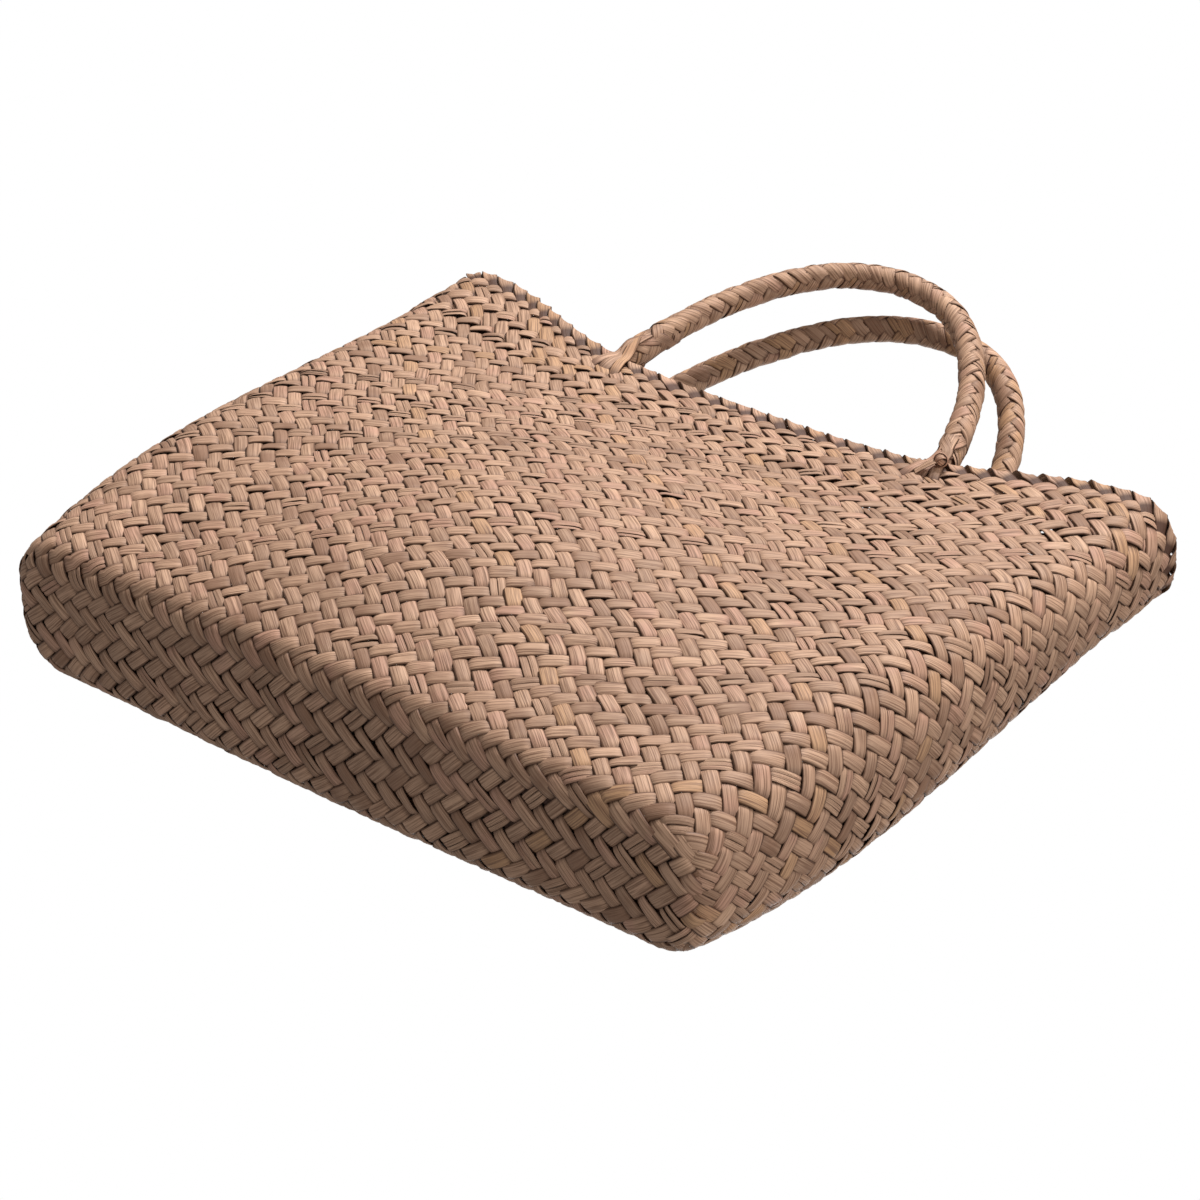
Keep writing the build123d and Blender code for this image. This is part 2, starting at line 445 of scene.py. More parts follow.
class Unevenness:
    """Seeded, smooth straying of the crossings."""

    def __init__(self, weave, around):
        chance = np.random.default_rng(weave.seed)
        self.around = around
        self.size = weave.wander
        self.turns = chance.integers(1, 16, size=(2, 9))
        self.lift = chance.uniform(-0.9, 0.9, size=(2, 9))
        self.phase = chance.uniform(0, 2 * np.pi, size=(2, 9))

    def at(self, m, n):
        """Sideways and upward straying at places of the lattice, in units."""
        both = []
        for turns, lift, phase in zip(self.turns, self.lift, self.phase):
            waves = [np.sin(2 * np.pi * q * m / self.around + f * n + p)
                     for q, f, p in zip(turns, lift, phase)]
            both.append(sum(waves) / 3)
        return self.size * both[0], self.size * both[1]


class Weaver:
    """Lays strands on the skin in the basket's twill."""

    def __init__(self):
        self.weave, self.rim, _ = settings()
        self.skin = Skin(self.weave, self.rim)
        self.uneven = Unevenness(self.weave, self.skin.around)
        self.chance = np.random.default_rng(self.weave.seed + 1)

    def band(self, n):
        """1 inside the doubled band under the mouth, 0 below it."""
        start = self.skin.rows - self.rim.band_rows
        return smooth(start - 0.6, start + 0.4, n)

    def height(self, rising, n):
        """Height of a strand's middle over the weave's middle plane; rising strands slope up to the right."""
        rise = rise_of(2 * n) if rising else -rise_of(2 * n)
        lift = self.rim.band_lift * self.band(n) * (rise > 0) * rise if rising else 0.0
        return rise * self.weave.swing + lift, rise

    def path(self, rising, start, low, high):
        """Lattice places of one wall strand that meets the base edge at u = start."""
        step = 0.5 / self.weave.samples
        n = np.linspace(low, high, max(3, int(round((high - low) / step)) + 1))
        return (start + n if rising else start - n), n

    def tilt(self, points, facing, amount):
        """Outward directions rocked about the strand by a smooth random amount."""
        along = unit_rows(np.gradient(points, axis=0))
        side = np.cross(along, facing)
        count = len(points)
        knots = self.chance.normal(0, amount, max(2, count // 6 + 2))
        rock = np.interp(np.linspace(0, 1, count), np.linspace(0, 1, len(knots)), knots)[:, None]
        return unit_rows(facing + side * rock), side

    def lay(self, bundle, points, facing, rise, shade, width=1.0):
        """Adds a strand, sometimes split along its length into two or three narrower ones."""
        half = self.weave.strand_width / 2 * width * self.chance.uniform(0.93, 1.06)
        count = len(points)
        knots = self.chance.uniform(0.93, 1.07, max(2, count // 8 + 2))
        swell = np.interp(np.linspace(0, 1, count), np.linspace(0, 1, len(knots)), knots)
        facing, side = self.tilt(points, facing, 0.10)
        half = half * swell * (1 + 0.04 * rise)
        parts = self.chance.choice([1, 2, 3], p=[0.86, 0.10, 0.04])
        for part in range(parts):
            offset = (2 * part + 1) / parts - 1
            moved = points + side * (offset * half * 0.98)[:, None]
            moved = moved + facing * (self.chance.normal(0, 0.12 * MM) if parts > 1 else 0.0)
            moved = moved - facing * (self.weave.strand_dome * offset ** 2)
            bundle.add(moved, facing, half / parts * 1.02, rise, np.clip(shade + 0.03 * part, 0, 1))

    def wall_strand(self, bundle, rising, start, shade):
        """One strand from the base edge, or from across the base, up to the mouth."""
        skin = self.skin
        on_front = start <= skin.front
        u, n = self.path(rising, start, 0.0 if on_front else -0.35, skin.rows - 0.35)
        fade = smooth(0, 4, n)
        du, dn = self.uneven.at(u, n)
        points = skin.point(u + du * fade, n + dn * fade)
        facing = skin.facing(u + du * fade, n + dn * fade)
        height, rise = self.height(rising, n)
        tuck = 0.0 if on_front else 0.9 * MM * smooth(0.15, -0.35, n)
        height = height - tuck - 0.8 * MM * smooth(skin.rows - 0.9, skin.rows - 0.35, n)
        points = points + facing * (height - self.weave.depth)[:, None]
        if on_front:
            below = self.base_places(rising, start)
            if below is not None:
                low_points, low_facing, low_rise = below
                points = np.concatenate([low_points[::-1][:-1], points])
                facing = np.concatenate([low_facing[::-1][:-1], facing])
                rise = np.concatenate([low_rise[::-1][:-1], rise])
        self.lay(bundle, points, facing, rise, shade)

    def base_places(self, rising, start):
        """Points, outward directions and rise of a strand on the base, from where it enters."""
        skin = self.skin
        step = 0.5 / self.weave.samples
        if rising:
            first, last = max(0.0, start - skin.front), min(skin.side, start)
        else:
            first, last = max(0.0, -start), min(skin.side, skin.front - start)
        if last - first < 0.5:
            return None
        r = np.linspace(first, last, int(round((last - first) / step)) + 1)
        m = start - r if rising else start + r
        inside = np.minimum.reduce([m, skin.front - m, r, skin.side - r])
        fade = smooth(0, 2, inside)
        dm, dr = self.uneven.at(m, -r)
        points = skin.base(m + dm * fade, r + dr * fade)
        facing = skin.base_facing(m + dm * fade, r + dr * fade)
        rise = rise_of(-2 * r) if rising else -rise_of(-2 * r)
        ends = smooth(0.4, 0, skin.side - r) + smooth(0.4, 0, np.minimum(m, skin.front - m))
        height = rise * self.weave.swing - self.weave.depth - 0.8 * MM * np.clip(ends, 0, 1) + 0.2 * MM
        return points + facing * height[:, None], facing, rise

    def base_strand(self, bundle, rising, start, shade):
        """One strand that crosses only the base."""
        places = self.base_places(rising, start)
        if places is not None:
            self.lay(bundle, *places, shade)

    def rim_strand(self, bundle, start, shade):
        """One strand end that turns over the mouth's edge and is laid down the outside."""
        skin, rim, weave = self.skin, self.rim, self.weave
        inner_rows = 1.5
        rows = skin.rows
        n_in = np.linspace(rows - inner_rows, rows, 6)[:-1]
        u_in = start - (rows - n_in) * 0.9
        turn = np.linspace(np.pi, 0, 11)
        u_turn = start + rim.slant * (1 - turn / np.pi)
        n_turn = np.full(len(turn), float(rows))
        n_out = np.linspace(rows, rows - rim.band_rows - 0.15, int(rim.band_rows * 2 * weave.samples))[1:]
        u_out = start + rim.slant + (rows - n_out)
        u = np.concatenate([u_in, u_turn, u_out])
        n = np.concatenate([n_in, n_turn, n_out])
        du, dn = self.uneven.at(u, n)
        dn = dn * smooth(rows, rows - 2, n)
        points = skin.point(u + du, n + dn)
        facing = skin.facing(u + du, np.minimum(n + dn, rows - 0.5))
        up = np.array([0.0, 0.0, 1.0])
        middle = points - facing * weave.depth
        a, b = len(n_in), len(n_in) + len(turn)
        result, out = middle.copy(), facing.copy()
        inside_gap = rim.wrap_radius * smooth(rows - inner_rows - 0.3, rows, n_in)[:, None]
        result[:a] -= facing[:a] * (inside_gap + 0.4 * MM)
        out[:a] = -facing[:a]
        ways = np.cos(turn)[:, None] * facing[a:b] + np.sin(turn)[:, None] * up
        result[a:b] += rim.wrap_radius * ways
        out[a:b] = ways
        rise = -rise_of(2 * n_out)
        laid = rise * weave.swing * 0.85 + rim.band_lift
        tuck = 1.3 * MM * smooth(rows - rim.band_rows + 0.5, rows - rim.band_rows - 0.15, n_out)
        near = smooth(rows - 1.1, rows, n_out)
        height = (laid - tuck) * (1 - near) + rim.wrap_radius * near
        result[b:] += facing[b:] * height[:, None]
        # The stretch inside the mouth gets a low rise, so the material paints it dark as shade inside the
        # basket.
        rises = np.concatenate([np.full(a, -0.5), np.full(b - a, 0.9), rise])
        self.lay(bundle, result, out, rises, shade, width=0.97)


WORKSHOP = {}


def weaver():
    """The one weaver, made when first asked for."""
    if "one" not in WORKSHOP:
        WORKSHOP["one"] = Weaver()
    return WORKSHOP["one"]


# --- the handles' centre lines ---------------------------------------------

def joint_of(name):
    """The joint that a handle turns on."""
    return next(j for j in frame["joints"] if j["child"] == name + "_handle")


class HandleLine:
    """Centre line of one handle, worked out from its packed core and its joint."""

    knots = ((1.0, 0.0), (0.89, 0.33), (0.73, 0.6), (0.36, 0.92), (0.0, 1.0))
    fine_steps = 800
    half_step = 0.5 * MM

    def __init__(self, name, skew):
        low, high = (np.array(v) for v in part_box(name + "_handle_core"))
        rope_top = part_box(name + "_handle_plait")[1].z
        self.hinge = np.array(joint_of(name)["pos_m"], float)
        core = self.hinge[2] - low[2]
        self.radius = rope_top - high[2] + core
        spread = (high[0] - low[0]) / 2 - core
        self.up = np.array([0.0, low[1] + core - self.hinge[1], high[2] - core - self.hinge[2]])
        self.rise = np.linalg.norm(self.up)
        self.up /= self.rise
        self.across = np.array([1.0, 0.0, 0.0])
        left = [(-reach, height) for reach, height in self.knots]
        right = list(reversed(self.knots[:-1]))
        places = np.array([(reach * spread + height * skew, height * self.rise)
                           for reach, height in left + right])
        fine = self.spline(places, self.fine_steps)
        self.flat = fine
        self.length_at = np.concatenate([[0], np.cumsum(np.linalg.norm(np.diff(fine, axis=0), axis=1))])
        self.length = self.length_at[-1]
        self.normal = np.cross(self.across, self.up)

    @staticmethod
    def spline(places, count):
        """Natural cubic curve through the places, finely sampled."""
        gaps = np.linalg.norm(np.diff(places, axis=0), axis=1)
        at = np.concatenate([[0], np.cumsum(gaps)])
        size = len(places)
        matrix, right = np.zeros((size, size)), np.zeros((size, 2))
        matrix[0, 0] = matrix[-1, -1] = 1
        for i in range(1, size - 1):
            matrix[i, i - 1:i + 2] = gaps[i - 1], 2 * (gaps[i - 1] + gaps[i]), gaps[i]
            right[i] = 6 * ((places[i + 1] - places[i]) / gaps[i] - (places[i] - places[i - 1]) / gaps[i - 1])
        bend = np.linalg.solve(matrix, right)
        fine = []
        for t in np.linspace(0, at[-1], count):
            i = min(np.searchsorted(at, t, side="right") - 1, size - 2)
            a, b, h = at[i + 1] - t, t - at[i], gaps[i]
            fine.append(
                (bend[i] * a ** 3 + bend[i + 1] * b ** 3) / (6 * h)
                + (places[i] / h - bend[i] * h / 6) * a + (places[i + 1] / h - bend[i + 1] * h / 6) * b)
        return np.array(fine)

    def at(self, s):
        """Points and directions at lengths s along the line, running straight on past both feet."""
        inside = np.clip(s, 0, self.length)
        x = np.interp(inside, self.length_at, self.flat[:, 0])
        z = np.interp(inside, self.length_at, self.flat[:, 1])
        lo = np.clip(inside - self.half_step, 0, self.length)
        hi = np.clip(inside + self.half_step, 0, self.length)
        tx = np.interp(hi, self.length_at, self.flat[:, 0]) - np.interp(lo, self.length_at, self.flat[:, 0])
        tz = np.interp(hi, self.length_at, self.flat[:, 1]) - np.interp(lo, self.length_at, self.flat[:, 1])
        along = unit_rows(tx[:, None] * self.across + tz[:, None] * self.up)
        points = self.hinge + x[:, None] * self.across + z[:, None] * self.up
        return points + along * (s - inside)[:, None], along

    def round(self, s, angle, radius):
        """Points round the line and their outward directions."""
        points, along = self.at(s)
        other = np.cross(along, self.normal)
        out = np.cos(angle)[:, None] * self.normal + np.sin(angle)[:, None] * other
        return points + out * radius[:, None], out


def handle_line(name):
    """The centre line of the front or rear handle."""
    _, _, handle = settings()
    return HandleLine(name, getattr(handle, name + "_skew"))


def spline3(places, count):
    """Smooth three-dimensional curve through the places."""
    gaps = np.linalg.norm(np.diff(places, axis=0), axis=1)
    at = np.concatenate([[0], np.cumsum(gaps)])
    t = np.linspace(0, at[-1], count)
    return np.stack([catmull(at, places[:, axis], t) for axis in range(3)], axis=1)


def catmull(at, values, t):
    """Smooth interpolation of one coordinate."""
    slopes = np.gradient(values, at)
    i = np.clip(np.searchsorted(at, t, side="right") - 1, 0, len(at) - 2)
    h = at[i + 1] - at[i]
    p = (t - at[i]) / h
    return ((2 * p ** 3 - 3 * p ** 2 + 1) * values[i] + (p ** 3 - 2 * p ** 2 + p) * h * slopes[i]
            + (3 * p ** 2 - 2 * p ** 3) * values[i + 1] + (p ** 3 - p ** 2) * h * slopes[i + 1])


# --- materials -------------------------------------------------------------

def sedge(name, gain=1.0, amber=0.035):
    """Dried sedge stalks, flattened: a dull, waxy skin ribbed lengthwise by fibres a few tenths of a
    millimetre apart, each stalk its own tan, with pinkish split edges; painted shade where it dives under and
    along its edges."""
    if name in bpy.data.materials:
        return bpy.data.materials[name]
    colours = bpy.context.scene.basket_colours
    material = bpy.data.materials.new(name)
    material.use_nodes = True
    tree = material.node_tree
    tree.nodes.clear()
    shade = node(tree, "ShaderNodeAttribute", attribute_name="shade")
    along = node(tree, "ShaderNodeAttribute", attribute_name="along")
    across = node(tree, "ShaderNodeAttribute", attribute_name="across")
    sink = node(tree, "ShaderNodeAttribute", attribute_name="sink")

    fibre_pitch = 0.5 * MM
    half_width = bpy.context.scene.basket_weave.strand_width / 2
    offset = node(tree, "ShaderNodeMath", {0: shade.outputs["Fac"], 1: 91.7}, operation="MULTIPLY")
    lengthwise = node(tree, "ShaderNodeMath", {0: along.outputs["Fac"], 1: 45.0}, operation="MULTIPLY")
    sideways = node(tree, "ShaderNodeMath",
                    {0: across.outputs["Fac"], 1: half_width / fibre_pitch}, operation="MULTIPLY")
    grain_place = node(tree, "ShaderNodeCombineXYZ", {
        "X": lengthwise.outputs[0], "Y": sideways.outputs[0], "Z": offset.outputs[0]})
    fibres = node(tree, "ShaderNodeTexNoise",
                  {"Vector": grain_place.outputs[0], "Scale": 1.0, "Detail": 2.0, "Roughness": 0.7})
    patch_place = node(tree, "ShaderNodeCombineXYZ", {
        "X": along.outputs["Fac"], "Y": offset.outputs[0]})
    patches = node(tree, "ShaderNodeTexNoise",
                   {"Vector": patch_place.outputs[0], "Scale": 38.0, "Detail": 2.0, "Roughness": 0.6})

    drift = node(tree, "ShaderNodeMapRange", {
        "Value": patches.outputs["Fac"], "From Min": 0.3, "From Max": 0.7, "To Min": -0.25, "To Max": 0.25})
    tone = node(tree, "ShaderNodeMath", {0: shade.outputs["Fac"], 1: drift.outputs[0]}, operation="ADD",
                use_clamp=True)
    ramp = node(tree, "ShaderNodeValToRGB", {"Fac": tone.outputs[0]})
    stops = ((0.0, colours.shade), (0.16, colours.olive), (0.42, colours.tan), (0.66, colours.pale),
             (0.86, colours.rose), (1.0, colours.tan))
    while len(ramp.color_ramp.elements) < len(stops):
        ramp.color_ramp.elements.new(0.5)
    for element, (place, code) in zip(ramp.color_ramp.elements, stops):
        element.position = place
        element.color = linear(code)

    single = node(tree, "ShaderNodeMath", {0: shade.outputs["Fac"], 1: 7.31}, operation="MULTIPLY")
    single = node(tree, "ShaderNodeMath", {0: single.outputs[0]}, operation="FRACT")
    golden = node(tree, "ShaderNodeMapRange", {
        "Value": single.outputs[0], "From Min": 1 - amber, "From Max": 1 - amber + 0.01,
        "To Min": 0.0, "To Max": 0.55})
    gilded = node(tree, "ShaderNodeMix", {
        "Factor": golden.outputs[0], 6: ramp.outputs["Color"], 7: linear(colours.amber)}, data_type="RGBA")

    ribs = node(tree, "ShaderNodeMapRange", {
        "Value": fibres.outputs["Fac"], "From Min": 0.42, "From Max": 0.64, "To Min": 0.0, "To Max": 0.95})
    ribbed = node(tree, "ShaderNodeMix", {
        "Factor": ribs.outputs[0], 6: gilded.outputs[2], 7: linear(colours.fibre)}, data_type="RGBA")

    edge = node(tree, "ShaderNodeMath", {0: across.outputs["Fac"]}, operation="ABSOLUTE")
    split = node(tree, "ShaderNodeMath", {0: edge.outputs[0], 1: patches.outputs["Fac"]},
                 operation="MULTIPLY")
    reddened = node(tree, "ShaderNodeMapRange", {
        "Value": split.outputs[0], "From Min": 0.5, "From Max": 0.66, "To Min": 0.0, "To Max": 0.5})
    blushed = node(tree, "ShaderNodeMix", {
        "Factor": reddened.outputs[0], 6: ribbed.outputs[2], 7: linear(colours.rose)}, data_type="RGBA")

    # Painted shade: the colour darkens towards the gap colour where a strand dives under the others (low
    # sink).
    dive_shade = node(tree, "ShaderNodeMapRange", {
        "Value": sink.outputs["Fac"], "From Min": 0.75, "From Max": -0.7, "To Min": 0.0, "To Max": 0.93})
    painted_shade_mix = node(tree, "ShaderNodeMix", {
        "Factor": dive_shade.outputs[0], 6: blushed.outputs[2], 7: linear(colours.gap)}, data_type="RGBA")
    # Painted shade: a dark line in the gap colour along both edges of every strand, where its neighbours
    # shade it.
    edge_shade = node(tree, "ShaderNodeMapRange", {
        "Value": edge.outputs[0], "From Min": 0.74, "From Max": 0.98, "To Min": 0.0, "To Max": 0.8})
    painted_shade_mix = node(tree, "ShaderNodeMix", {
        "Factor": edge_shade.outputs[0], 6: painted_shade_mix.outputs[2], 7: linear(colours.gap)}, data_type="RGBA")
    toned = node(tree, "ShaderNodeHueSaturation", {"Color": painted_shade_mix.outputs[2], "Value": gain})

    bump = node(tree, "ShaderNodeBump", {
        "Height": fibres.outputs["Fac"], "Strength": 0.8, "Distance": 0.3 * MM})
    shader = node(tree, "ShaderNodeBsdfPrincipled", {
        "Base Color": toned.outputs["Color"], "Roughness": 0.62, "Specular IOR Level": 0.32,
        "Normal": bump.outputs["Normal"]})
    node(tree, "ShaderNodeOutputMaterial", {"Surface": shader.outputs["BSDF"]})
    return material


def pith():
    """Twisted sedge core inside a handle: duller and darker than the skin, with coarse lengthwise fibres."""
    name = "twisted sedge core"
    if name in bpy.data.materials:
        return bpy.data.materials[name]
    colours = bpy.context.scene.basket_colours
    material = bpy.data.materials.new(name)
    material.use_nodes = True
    tree = material.node_tree
    tree.nodes.clear()
    place = node(tree, "ShaderNodeTexCoord")
    grain = node(tree, "ShaderNodeTexNoise",
                 {"Vector": place.outputs["Object"], "Scale": 900.0, "Detail": 3.0})
    mixed = node(tree, "ShaderNodeMix", {
        "Factor": grain.outputs["Fac"], 6: linear(colours.gap), 7: linear(colours.shade)}, data_type="RGBA")
    bump = node(tree, "ShaderNodeBump",
                {"Height": grain.outputs["Fac"], "Strength": 0.6, "Distance": 0.4 * MM})
    shader = node(tree, "ShaderNodeBsdfPrincipled", {
        "Base Color": mixed.outputs[2], "Roughness": 0.8, "Normal": bump.outputs["Normal"]})
    node(tree, "ShaderNodeOutputMaterial", {"Surface": shader.outputs["BSDF"]})
    return material


# --- the basket's own pieces ------------------------------------------------

class BASKET_OT_wall(bpy.types.Operator):
    """Plait the walls and the base, strand by strand"""
    bl_idname = "basket.wall"
    bl_label = "Walls and base"

    def execute(self, context):
        maker = weaver()
        around = maker.skin.around
        material = sedge("flattened sedge, plaited")
        for rising, way in ((True, "rising"), (False, "falling")):
            shades = maker.chance.uniform(0, 1, around)
            sections = 3
            for part in range(sections):
                bundle = Bundle()
                for start in range(part * around // sections, (part + 1) * around // sections):
                    maker.wall_strand(bundle, rising, start, shades[start])
                made = bundle.sweep("wall_strands_%s_%d" % (way, part + 1), maker.weave, material)
                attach(made, "basket")
                if rising and part == 0:
                    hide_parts("woven_body")
        bundle = Bundle()
        front, side = maker.skin.front, maker.skin.side
        for start in range(front + 1, front + side):
            maker.base_strand(bundle, True, start, maker.chance.uniform(0, 1))
        for start in range(1 - side, 0):
            maker.base_strand(bundle, False, start, maker.chance.uniform(0, 1))
        made = bundle.sweep("base_strands", maker.weave, material)
        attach(made, "basket")
        return {"FINISHED"}


class BASKET_OT_rim(bpy.types.Operator):
    """Turn the strand ends over the mouth's edge and lay them down the outside"""
    bl_idname = "basket.rim"
    bl_label = "Folded rim"

    def execute(self, context):
        maker = weaver()
        bundle = Bundle()
        for start in range(maker.skin.around):
            maker.rim_strand(bundle, start + 0.5, maker.chance.uniform(0, 1))
        made = bundle.sweep("rim_strands", maker.weave, sedge("flattened sedge, folded", 1.0, RIM_AMBER))
        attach(made, "basket")
        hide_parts("folded_rim")
        return {"FINISHED"}


class BASKET_OT_handles(bpy.types.Operator):
    """Plait both rope handles over their cores"""
    bl_idname = "basket.handles"
    bl_label = "Rope handles"

    def execute(self, context):
        weave, _, handle = settings()
        maker = weaver()
        material = sedge("flattened sedge, handle", 1.06, HANDLE_AMBER)
        for name in ("front", "rear"):
            line = handle_line(name)
            bundle = Bundle()
            middle = line.radius - 0.85 * MM
            over = 5.4 * MM
            s = np.linspace(-over, line.length + over, int(line.length / handle.unit * 2 * 4))
            beyond = np.maximum(np.maximum(-s, s - line.length), 0)
            radius = np.sqrt(np.maximum((middle ** 2) * (1 - (beyond / (over + 0.5 * MM)) ** 2), 0))
            for rising in (True, False):
                for strand in range(handle.strands):
                    turn = strand + (1 if rising else -1) * s / handle.unit
                    angle = 2 * np.pi * turn / handle.strands
                    rise = rise_of(2 * turn) if rising else -rise_of(2 * turn)
                    points, out = line.round(s, angle, radius + rise * handle.swing)
                    maker.lay(bundle, points, out, rise, maker.chance.uniform(0.1, 0.9), width=1.02)
            made = bundle.sweep(name + "_plait_strands", weave, material, dome=0.45 * MM)
            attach(made, name + "_handle")
            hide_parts(name + "_handle_plait")
            core = frame["nodes"][name + "_handle_core"]
            core.data.materials.clear()
            core.data.materials.append(pith())
        return {"FINISHED"}


class BASKET_OT_turns(bpy.types.Operator):
    """Bind each handle just above its feet with broad crossing strips"""
    bl_idname = "basket.turns"
    bl_label = "Foot turns"

    def execute(self, context):
        weave = settings()[0]
        maker = weaver()
        material = sedge("flattened sedge, handle", 1.06, HANDLE_AMBER)
        for name in ("front", "rear"):
            line = handle_line(name)
            for end in ("left", "right"):
                bundle = Bundle()
                start, reach = 8.5 * MM, 13 * MM
                for rising in (True, False):
                    for strand in range(2):
                        t = np.linspace(0, 1, 26)
                        s = start + reach * t
                        s = s if end == "left" else line.length - s
                        angle = strand * math.pi + (2.9 if rising else -2.9) * t + (0.4 if rising else 1.2)
                        rise = 0.5 * np.cos(2 * np.pi * t * 1.5) * (1 if rising else -1)
                        tuck = 0.9 * MM * (smooth(0.15, 0, t) + smooth(0.85, 1, t))
                        radius = line.radius - 0.15 * MM + rise * 0.4 * MM - tuck
                        points, out = line.round(s, angle, radius)
                        shade = maker.chance.uniform(0.3, 0.7)
                        maker.lay(bundle, points, out, rise * 0.6 + 0.4, shade, width=0.9)
                made = bundle.sweep("%s_%s_turn_strips" % (name, end), weave, material, dome=0.35 * MM)
                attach(made, name + "_handle")
                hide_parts("%s_%s_turns" % (name, end))
        return {"FINISHED"}


class BASKET_OT_tails(bpy.types.Operator):
    """Spread the strips that tie each handle foot over the mouth's edge"""
    bl_idname = "basket.tails"
    bl_label = "Foot tails"

    def execute(self, context):
        weave, _, _ = settings()
        maker = weaver()
        material = sedge("flattened sedge, handle", 1.06, HANDLE_AMBER)
        for name in ("front", "rear"):
            line = handle_line(name)
            for end in ("left", "right"):
                foot = line.at(np.array([0.0 if end == "left" else line.length]))[0][0]
                for face, way in (("outer", 1), ("inner", -1)):
                    bundle = Bundle()
                    for spread in (-1.0, 0.0, 1.0):
                        self.tail(maker, bundle, line, end, foot, name, way, spread)
                    title = "%s_%s_%s_tail_strips" % (name, end, face)
                    made = bundle.sweep(title, weave, material, dome=0.4 * MM)
                    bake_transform(made)
                    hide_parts("%s_%s_%s_tail" % (name, end, face))
        return {"FINISHED"}

    def tail(self, maker, bundle, line, end, foot, name, way, spread):
        """One strip from beside the rope, past its foot and under the first rows of the wall."""
        skin, weave, rim = maker.skin, maker.weave, maker.rim
        forward = (name == "front") == (way > 0)
        side = -1 if name == "front" else 1
        toward = 1 if end == "left" else -1
        flip = toward if forward else -toward
        s = np.array([10.5, 7.0, 3.4, -0.5]) * MM
        aside = np.array([-4.6, -3.6, -1.6, 1.0]) * spread * MM
        radius = line.radius + np.array([-0.35, 0.05, 0.35, 0.5]) * MM + 0.25 * MM * (spread > 0)
        angle = (0.0 if forward else math.pi) + flip * np.arcsin(aside / radius)
        upper, upper_out = line.round(s if end == "left" else line.length - s, angle, radius)
        rows = np.array([-0.15, 0.55, 1.25, 1.9])
        out_aside = np.array([2.8, 4.2, 5.8, 7.4]) * spread * MM
        unit = skin.half_width * 2 / skin.front
        n = skin.rows - rows
        u = self.column(skin, foot[0], side) - side * out_aside / unit
        stand = rim.wrap_radius - weave.depth + 1.3 * MM + 0.25 * MM * (spread > 0)
        deep = rim.wrap_radius + weave.depth + 1.3 * MM
        height = np.full(len(n), stand if way > 0 else -deep)
        height += np.array([-0.7, 0, -0.5, -2.2]) * MM * way
        facing = skin.facing(u, np.minimum(n, skin.rows - 0.5))
        lower = skin.point(u, n) + facing * height[:, None]
        coarse = np.concatenate([upper, lower])
        ways = np.concatenate([upper_out, facing * way])
        count = 30
        fine = spline3(coarse, count)
        at = np.linspace(0, len(ways) - 1, count)
        out = np.stack([np.interp(at, np.arange(len(ways)), ways[:, i]) for i in range(3)], axis=1)
        share = np.linspace(0, 1, count)
        # The low rise at both ends makes the material paint shade where the strip tucks under the rope and
        # the wall.
        rise = 0.8 - 1.3 * smooth(0.82, 1, share) - 0.8 * smooth(0.12, 0, share)
        maker.lay(bundle, fine, out, rise, maker.chance.uniform(0.3, 0.8), width=0.8 if spread else 1.0)

    @staticmethod
    def column(skin, x, side):
        """Weave column under one place along the mouth."""
        middle = skin.front / 2 if side < 0 else skin.front / 2 + skin.around / 2
        us = middle + np.linspace(-15, 15, 301)
        xs = skin.wall(us, np.full(len(us), float(skin.rows)))[:, 0]
        return us[np.argmin(np.abs(xs - x))]


class BASKET_OT_knob(bpy.types.Operator):
    """Roll up the strand end that stands at the front right foot"""
    bl_idname = "basket.knob"
    bl_label = "Rolled strand end"
    settle = 2.2 * MM

    def execute(self, context):
        weave = settings()[0]
        low, high = (np.array(v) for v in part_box("front_end_knob"))
        middle, size = (low + high) / 2, (high - low).max() / 2
        middle[1] += self.settle
        bundle = Bundle()
        angle = np.linspace(0, 2 * np.pi, 25)[:, None]
        ways = unit_rows(np.array([[0.5, -0.75, 0.35], [0.7, 0.3, -0.6], [-0.3, 0.5, 0.8]]))
        for turn, axis in enumerate(ways):
            one = unit_rows(np.cross(axis, [[0.0, 0.0, 1.0]]))
            out = np.cos(angle) * one + np.sin(angle) * np.cross(axis, one)
            bundle.add(middle + out * size * (0.66 + 0.08 * turn), out, 1.7 * MM, 0.8, 0.86)
        stem = np.array([[0.0, 0.0, 0.0], [-1.5, -0.2, -2.2], [-4.0, 1.2, -5.5], [-7.0, 3.6, -8.5]]) * MM
        points = middle + spline3(stem, 14)
        bundle.add(points, np.broadcast_to([0.3, -1.0, 0.3], points.shape), 1.9 * MM, 0.6, 0.7)
        made = bundle.sweep("rolled_strand_end", weave, sedge("flattened sedge, handle", 1.06, HANDLE_AMBER),
                            dome=0.2 * MM)
        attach(made, "basket")
        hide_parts("front_end_knob")
        return {"FINISHED"}


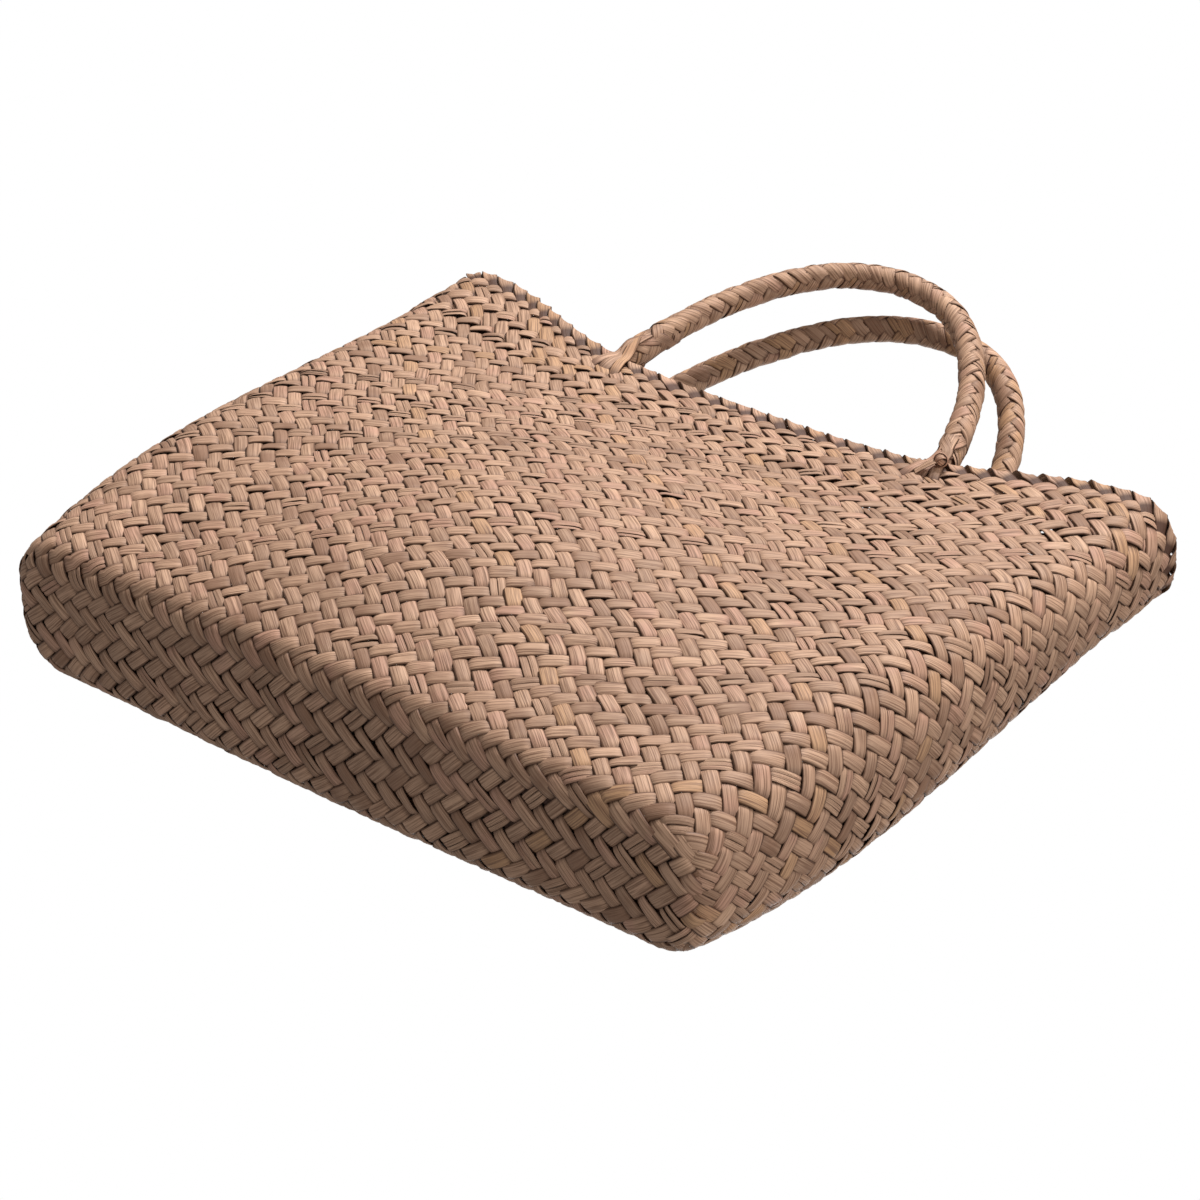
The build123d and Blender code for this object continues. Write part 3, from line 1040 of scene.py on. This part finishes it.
class BASKET_OT_stage(bpy.types.Operator):
    """Set up the camera, the pale floor and soft studio light"""
    bl_idname = "basket.stage"
    bl_label = "Stage"

    def execute(self, context):
        scene = context.scene
        stage = scene.basket_stage
        scene.view_settings.view_transform = "Standard"
        right = Vector(stage.camera_right).normalized()
        aim = Vector(stage.camera_aim).normalized()
        up = right.cross(aim).normalized()
        camera = bpy.data.objects.new("camera", bpy.data.cameras.new("camera"))
        scene.collection.objects.link(camera)
        turn = Matrix((right, up, -aim)).transposed()
        camera.matrix_world = Matrix.Translation(Vector(stage.camera_place)) @ turn.to_4x4()
        camera.data.lens = stage.camera_lens
        camera.data.clip_start, camera.data.clip_end = 0.01, 100
        scene.camera = camera
        self.floor(scene, stage.floor_size / 2)
        self.world(scene)
        self.light(scene, "key", (-0.25, -2.0, 1.7), 0.8, 84)
        self.light(scene, "fill", (2.1, -0.9, 0.2), 1.4, 24)
        self.light(scene, "back", (-0.6, 2.2, 1.6), 1.6, 26)
        return {"FINISHED"}

    def floor(self, scene, half):
        """A pale floor that shows from above only."""
        mesh = bpy.data.meshes.new("floor")
        drop = 0.0002
        corners = [(-half, -half, -drop), (half, -half, -drop), (half, half, -drop), (-half, half, -drop)]
        mesh.from_pydata(corners, [], [(0, 1, 2, 3)])
        floor = bpy.data.objects.new("floor", mesh)
        scene.collection.objects.link(floor)
        material = bpy.data.materials.new("matt white board")
        material.use_nodes = True
        tree = material.node_tree
        tree.nodes.clear()
        side = node(tree, "ShaderNodeNewGeometry")
        board = node(tree, "ShaderNodeBsdfDiffuse", {"Color": linear("#F4F4F3")})
        clear = node(tree, "ShaderNodeBsdfTransparent")
        mixed = node(tree, "ShaderNodeMixShader", {0: side.outputs["Backfacing"], 1: board.outputs[0],
                                                   2: clear.outputs[0]})
        node(tree, "ShaderNodeOutputMaterial", {"Surface": mixed.outputs[0]})
        mesh.materials.append(material)
        floor.visible_diffuse = False
        floor.visible_glossy = False
        floor.visible_transmission = False
        floor.visible_shadow = False

    def world(self, scene):
        """Even white surroundings."""
        world = bpy.data.worlds.new("studio")
        world.use_nodes = True
        world.node_tree.nodes.clear()
        tree = world.node_tree
        glow = node(tree, "ShaderNodeBackground", {"Color": (1.0, 1.0, 1.0, 1.0), "Strength": 0.34})
        seen = node(tree, "ShaderNodeBackground", {"Color": (1.0, 1.0, 1.0, 1.0), "Strength": 1.0})
        path = node(tree, "ShaderNodeLightPath")
        mixed = node(tree, "ShaderNodeMixShader", {0: path.outputs["Is Camera Ray"], 1: glow.outputs[0],
                                                   2: seen.outputs[0]})
        node(tree, "ShaderNodeOutputWorld", {"Surface": mixed.outputs[0]})
        scene.world = world

    def light(self, scene, name, place, size, power):
        """A square soft light that looks at the basket."""
        data = bpy.data.lights.new(name, "AREA")
        data.size = size
        data.energy = power
        lamp = bpy.data.objects.new(name, data)
        scene.collection.objects.link(lamp)
        lamp.location = place
        aim = Vector((0, 0, 0.16)) - Vector(place)
        lamp.rotation_euler = aim.to_track_quat("-Z", "Y").to_euler()


class BASKET_PT_panel(bpy.types.Panel):
    """Sidebar list of the basket's pieces"""
    bl_idname = "BASKET_PT_panel"
    bl_label = "Plaited basket"
    bl_space_type = "VIEW_3D"
    bl_region_type = "UI"
    bl_category = "Basket"

    def draw(self, context):
        for operator in OPERATORS:
            self.layout.operator(operator.bl_idname)


OPERATORS = (BASKET_OT_wall, BASKET_OT_rim, BASKET_OT_handles, BASKET_OT_turns, BASKET_OT_tails,
             BASKET_OT_knob, BASKET_OT_stage)
GROUPS = {
    "basket_weave": WeaveSettings,
    "basket_rim": RimSettings,
    "basket_handle": HandleSettings,
    "basket_colours": SedgeColours,
    "basket_stage": StageSettings,
}


def register():
    """Add the settings, operators and panel."""
    for group in GROUPS.values():
        bpy.utils.register_class(group)
    for operator in OPERATORS:
        bpy.utils.register_class(operator)
    bpy.utils.register_class(BASKET_PT_panel)
    for name, group in GROUPS.items():
        setattr(bpy.types.Scene, name, PointerProperty(type=group))


def unregister():
    """Take them away again."""
    for name in GROUPS:
        delattr(bpy.types.Scene, name)
    bpy.utils.unregister_class(BASKET_PT_panel)
    for operator in reversed(OPERATORS):
        bpy.utils.unregister_class(operator)
    for group in GROUPS.values():
        bpy.utils.unregister_class(group)


def main():
    """Make every piece in order."""
    register()
    bpy.ops.basket.wall()
    bpy.ops.basket.rim()
    bpy.ops.basket.handles()
    bpy.ops.basket.turns()
    bpy.ops.basket.tails()
    bpy.ops.basket.knob()
    bpy.ops.basket.stage()


if __name__ == "__main__":
    main()
